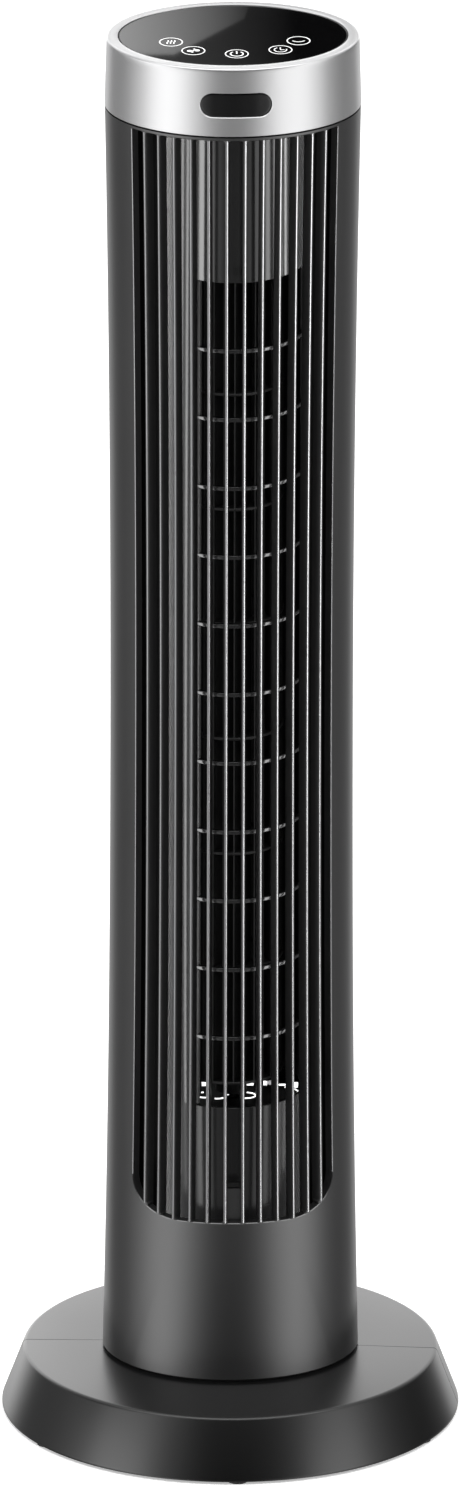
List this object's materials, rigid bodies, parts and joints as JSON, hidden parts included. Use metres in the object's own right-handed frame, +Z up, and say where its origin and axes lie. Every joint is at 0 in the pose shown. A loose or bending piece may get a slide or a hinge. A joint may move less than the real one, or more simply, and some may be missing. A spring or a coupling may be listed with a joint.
{
  "type": "tower fan",
  "caption": "Free-standing tower fan: round base, oval slatted column, swinging inner drum with a cross-flow impeller, silver ring with a touch panel.",
  "frame": {"origin": "on the floor, under the centre of the round base and the column's axis", "axes": "+Z up along the column, -Y out of the slatted front, +X to the right seen from the front"},
  "size_m": [0.316, 0.316, 1.016],
  "materials": {
    "body_charcoal": "satin",
    "drum_grey": "satin",
    "trim_silver": "satin metallic",
    "panel_glass": "polished",
    "inner_black": "matt",
    "rubber_black": "matt",
    "screw_steel": "plated",
    "zinc_steel": "zinc plated",
    "board_green": "lacquered",
    "acetal_white": "satin"
  },
  "bodies": {
    "housing": {"base_front": "body_charcoal", "base_rear": "body_charcoal", "front_housing": "body_charcoal", "rear_housing": "body_charcoal", "intake_grille": "body_charcoal", "trim_ring": "trim_silver", "touch_panel": "panel_glass", "display_window": "panel_glass", "column_foot": "inner_black", "panel_tray": "inner_black", "ir_receiver": "inner_black", "top_bracket": "inner_black", "lower_bracket": "inner_black", "foot_pad_1": "rubber_black", "foot_pad_2": "rubber_black", "foot_pad_3": "rubber_black", "foot_pad_4": "rubber_black", "foot_pad_5": "rubber_black", "foot_pad_6": "rubber_black", "cord_gland": "rubber_black", "base_screw_1": "screw_steel", "base_screw_2": "screw_steel", "base_screw_3": "screw_steel", "base_screw_4": "screw_steel", "rear_screw_1": "screw_steel", "rear_screw_2": "screw_steel", "rear_screw_3": "screw_steel", "rear_screw_4": "screw_steel", "rear_screw_5": "screw_steel", "rear_screw_6": "screw_steel", "touch_spring_1": "screw_steel", "touch_spring_2": "screw_steel", "touch_spring_3": "screw_steel", "touch_spring_4": "screw_steel", "touch_spring_5": "screw_steel", "swing_motor": "zinc_steel", "control_board": "board_green", "display_board": "board_green", "power_board": "board_green", "top_bush": "acetal_white", "bottom_bearing": "acetal_white"},
    "drum": {"drum_shell": "drum_grey", "drum_top_cap": "drum_grey", "drum_bottom_cap": "drum_grey", "drum_gear": "acetal_white", "outlet_grid": "drum_grey", "scroll_wall": "inner_black", "vortex_wall": "inner_black", "fan_motor": "zinc_steel", "motor_stator": "inner_black", "motor_mount": "zinc_steel", "motor_screw_1": "screw_steel", "motor_screw_2": "screw_steel", "motor_screw_3": "screw_steel", "upper_bulkhead": "inner_black", "impeller_bush": "rubber_black"},
    "impeller": {"impeller": "inner_black", "motor_rotor": "zinc_steel", "coupling_hub": "rubber_black"},
    "pinion": {"swing_pinion": "acetal_white"}
  },
  "joints": [
    {"name": "drum_swing", "type": "hinge", "parent": "housing", "child": "drum", "pos_m": [0, 0, 0.5], "axis": [0, 0, 1], "range_deg": [-65, 15]},
    {"name": "impeller_spin", "type": "hinge", "parent": "drum", "child": "impeller", "pos_m": [0, 0, 0.5], "axis": [0, 0, 1], "continuous": true},
    {"name": "pinion_spin", "type": "hinge", "parent": "housing", "child": "pinion", "pos_m": [-0.048, 0, 0.109], "axis": [0, 0, 1], "range_deg": [-50, 200]}
  ],
  "couplings": [
    {"joint": "pinion_spin", "follows": "drum_swing", "ratio": -3}
  ]
}
